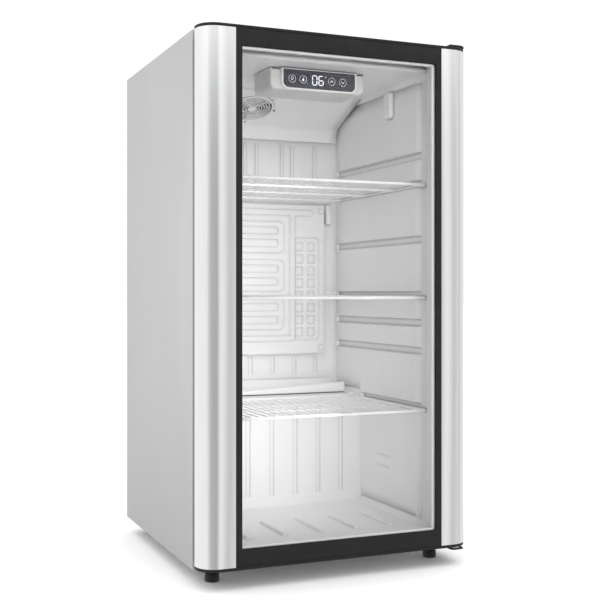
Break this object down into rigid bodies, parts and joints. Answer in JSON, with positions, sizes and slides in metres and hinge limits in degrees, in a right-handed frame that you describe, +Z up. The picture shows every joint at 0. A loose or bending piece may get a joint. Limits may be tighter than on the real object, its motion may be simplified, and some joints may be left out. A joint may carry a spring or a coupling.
{
  "type": "reach in refrigerator",
  "caption": "Free-standing glass-door reach-in refrigerator with a hinged door between rounded aluminium pillars, wire shelves, roof fan and rear compressor bay.",
  "frame": {"origin": "on the floor under the middle of the overall box", "axes": "+X to the viewer's right facing the door, -Y out of the door, +Z up"},
  "size_m": [0.468, 0.468, 0.866],
  "materials": {
    "grey_sheet": "satin",
    "galvanised_sheet": "satin",
    "white_liner": "satin",
    "foam": "matte",
    "evaporator_aluminium": "satin",
    "white_plastic": "satin",
    "black_plastic": "satin",
    "dark_panel": "gloss",
    "circuit_board": "satin",
    "clear_cover": "gloss",
    "black_enamel": "satin",
    "rubber": "matte",
    "zinc_steel": "satin",
    "copper": "satin",
    "brushed_aluminium": "satin",
    "clear_glass": "gloss",
    "white_wire": "gloss",
    "gasket_vinyl": "matte",
    "magnet": "matte",
    "nylon": "satin",
    "tinned_probe": "satin"
  },
  "bodies": {
    "cabinet": {"side_panel_left": "grey_sheet", "side_panel_right": "grey_sheet", "top_panel": "grey_sheet", "back_panel": "galvanised_sheet", "base_pan": "galvanised_sheet", "bay_panel": "galvanised_sheet", "inner_liner": "white_liner", "foam_insulation": "foam", "evaporator_plate": "evaporator_aluminium", "evaporator_standoffs": "nylon", "drip_gutter": "white_plastic", "drain_tube": "nylon", "evaporation_pan": "black_plastic", "fan_cover": "white_plastic", "fan_grille": "white_plastic", "fan_motor": "black_plastic", "control_box": "white_plastic", "display_panel": "dark_panel", "control_board": "circuit_board", "lamp_cover": "clear_cover", "lamp_board": "circuit_board", "probe_clip": "white_plastic", "temperature_probe": "tinned_probe", "compressor": "black_enamel", "compressor_grommets": "rubber", "compressor_studs": "zinc_steel", "start_relay": "black_plastic", "condenser_tubes": "copper", "suction_line": "copper", "discharge_line": "copper", "filter_drier": "copper", "rear_grille": "galvanised_sheet", "cord_gland": "rubber", "hinge_bracket_top": "zinc_steel", "hinge_bracket_bottom": "zinc_steel", "hinge_pin_top": "zinc_steel", "hinge_pin_bottom": "zinc_steel", "hinge_washer": "nylon", "hinge_screws": "zinc_steel", "hinge_cover": "black_plastic", "foot_inserts": "zinc_steel"},
    "door": {"door_front_frame": "black_plastic", "pillar_left": "brushed_aluminium", "pillar_right": "brushed_aluminium", "door_top_cap": "black_plastic", "door_bottom_cap": "black_plastic", "hinge_edge_trim": "black_plastic", "glass_unit": "clear_glass", "door_inner_frame": "white_plastic", "door_gasket": "gasket_vinyl", "gasket_magnets": "magnet", "hinge_bushes": "nylon"},
    "shelf_upper": {"shelf_upper": "white_wire"},
    "shelf_middle": {"shelf_middle": "white_wire"},
    "shelf_lower": {"shelf_lower": "white_wire"},
    "fan": {"fan_blade": "black_plastic"},
    "foot_front_left": {"foot_front_left": "rubber"},
    "foot_front_right": {"foot_front_right": "rubber"},
    "foot_rear_left": {"foot_rear_left": "rubber"},
    "foot_rear_right": {"foot_rear_right": "rubber"}
  },
  "joints": [
    {"name": "door_hinge", "type": "hinge", "parent": "cabinet", "child": "door", "pos_m": [0.217, -0.212, 0.445], "axis": [0, 0, 1], "range_deg": [0, 110]},
    {"name": "shelf_upper_slide", "type": "slide", "parent": "cabinet", "child": "shelf_upper", "axis": [0, -1, 0], "range_m": [0, 0.015]},
    {"name": "shelf_middle_slide", "type": "slide", "parent": "cabinet", "child": "shelf_middle", "axis": [0, -1, 0], "range_m": [0, 0.015]},
    {"name": "shelf_lower_slide", "type": "slide", "parent": "cabinet", "child": "shelf_lower", "axis": [0, -1, 0], "range_m": [0, 0.015]},
    {"name": "fan_spin", "type": "hinge", "parent": "cabinet", "child": "fan", "pos_m": [-0.025, 0.112, 0.79734], "axis": [0, 0.3939, 0.9191], "continuous": true},
    {"name": "foot_front_left_turn", "type": "hinge", "parent": "cabinet", "child": "foot_front_left", "pos_m": [-0.195, -0.166, 0.02], "axis": [0, 0, 1], "continuous": true},
    {"name": "foot_front_right_turn", "type": "hinge", "parent": "cabinet", "child": "foot_front_right", "pos_m": [0.195, -0.166, 0.02], "axis": [0, 0, 1], "continuous": true},
    {"name": "foot_rear_left_turn", "type": "hinge", "parent": "cabinet", "child": "foot_rear_left", "pos_m": [-0.195, 0.193, 0.02], "axis": [0, 0, 1], "continuous": true},
    {"name": "foot_rear_right_turn", "type": "hinge", "parent": "cabinet", "child": "foot_rear_right", "pos_m": [0.195, 0.193, 0.02], "axis": [0, 0, 1], "continuous": true}
  ]
}
